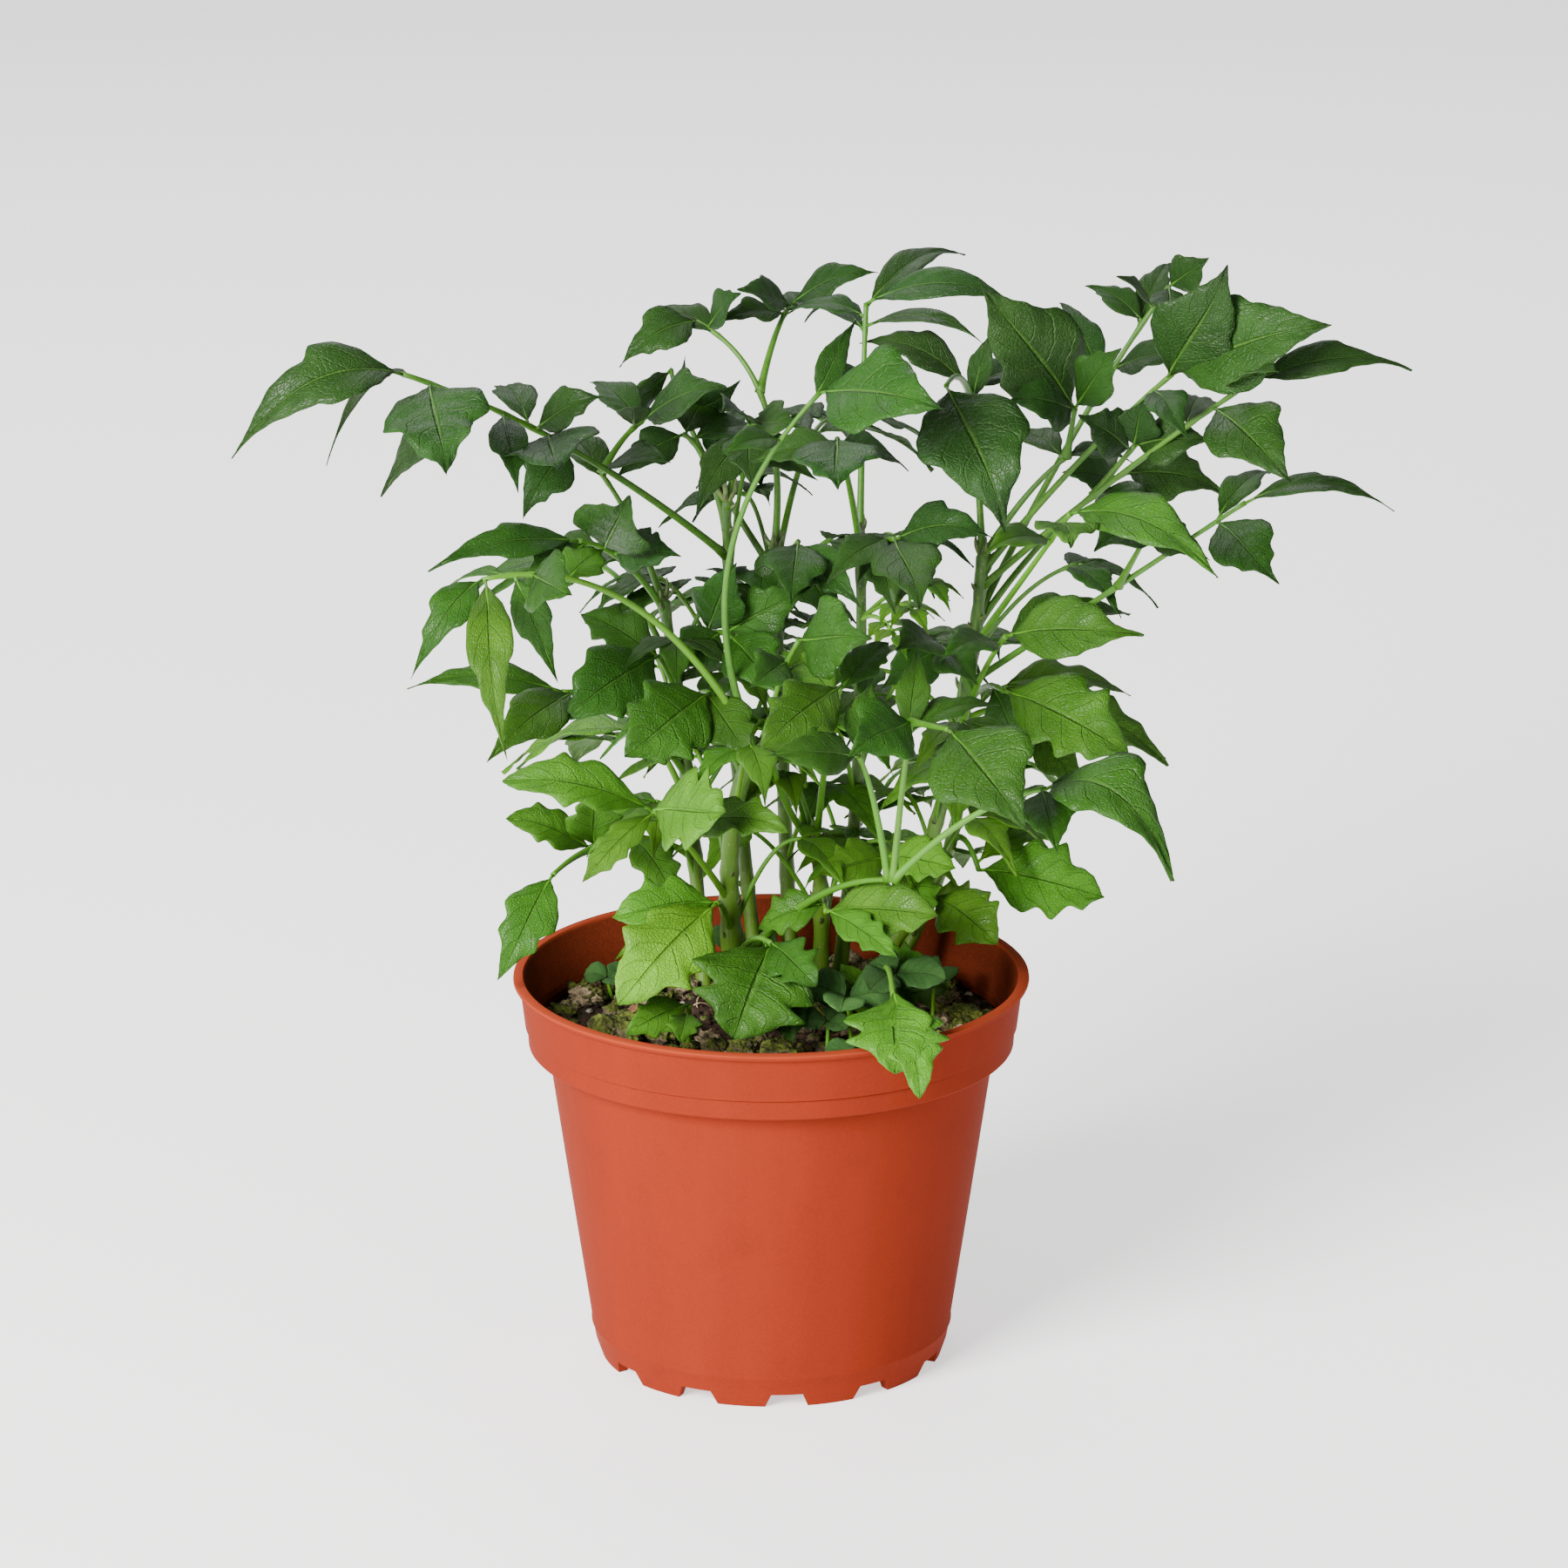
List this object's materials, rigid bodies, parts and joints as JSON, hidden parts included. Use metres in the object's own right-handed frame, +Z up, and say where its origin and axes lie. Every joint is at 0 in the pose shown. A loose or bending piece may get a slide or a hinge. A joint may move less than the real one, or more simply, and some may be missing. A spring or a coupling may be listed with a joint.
{
  "type": "potted china doll plant",
  "caption": "Young china doll plant with slender green stems and arching compound leaves of toothed leaflets, in a tapered terracotta-coloured plastic nursery pot.",
  "frame": {"origin": "centre of the pot's base, on the surface that the pot stands on", "axes": "+Z up the pot's axis; -Y is the front, the side that is seen; +X to the right of it"},
  "size_m": [0.336, 0.2524, 0.334],
  "materials": {
    "pot_plastic": "satin, slightly grainy moulded plastic in terracotta orange",
    "soil": "dark, crumbly peat with bark and pumice in it",
    "pumice": "rough pale pumice under green moss",
    "stem": "smooth young green bark, lighter towards the foot",
    "foliage": "glossy leaflets with a sunken midrib and paler veins, from bright yellow-green low down to deep green at the top"
  },
  "bodies": {
    "root": {"stone_left": "pumice", "stone_right": "pumice", "stone_front": "pumice", "stone_back": "pumice", "stem_left": "stem", "stem_middle": "stem", "stem_tall": "stem", "stem_right": "stem", "stem_outer_left": "stem", "stem_budding": "stem", "stem_back": "stem", "stem_back_right": "stem", "leaf_front_right": "foliage", "leaf_glossy_top": "foliage", "leaf_drooping": "foliage", "leaf_bottom_front": "foliage", "leaf_bottom_left": "foliage", "leaf_pale_left": "foliage", "leaf_green_right": "foliage", "leaf_centre_front": "foliage", "leaf_pale_centre": "foliage", "leaf_far_left": "foliage", "leaf_left_back": "foliage", "leaf_top_left": "foliage", "leaf_olive_back": "foliage", "leaf_spear_top": "foliage", "leaf_crown_right": "foliage", "leaf_dark_top": "foliage", "leaf_upper_right": "foliage", "leaf_right_top": "foliage", "leaf_far_right": "foliage", "leaf_dark_right": "foliage", "leaf_bright_arch": "foliage", "leaf_right_long": "foliage", "leaf_right_middle": "foliage", "leaf_right_big": "foliage", "leaf_dark_centre": "foliage", "leaf_dark_left": "foliage", "leaf_left_lobed": "foliage", "leaf_left_level": "foliage", "leaf_low_left": "foliage", "leaf_low_middle": "foliage", "leaf_low_dark": "foliage", "leaf_low_right": "foliage", "leaf_behind_right": "foliage", "leaf_upper_grey": "foliage", "leaf_upper_green": "foliage", "leaf_upper_left": "foliage", "leaf_arch_centre": "foliage", "leaf_middle_grey": "foliage", "leaf_rear_left": "foliage", "leaf_rear_low_left": "foliage", "leaf_rear_middle": "foliage", "leaf_rear_top": "foliage", "leaf_rear_right": "foliage", "leaf_rear_low_right": "foliage", "seedling_right": "foliage", "seedling_left": "foliage", "soil": "soil", "pot": "pot_plastic"}
  },
  "joints": []
}
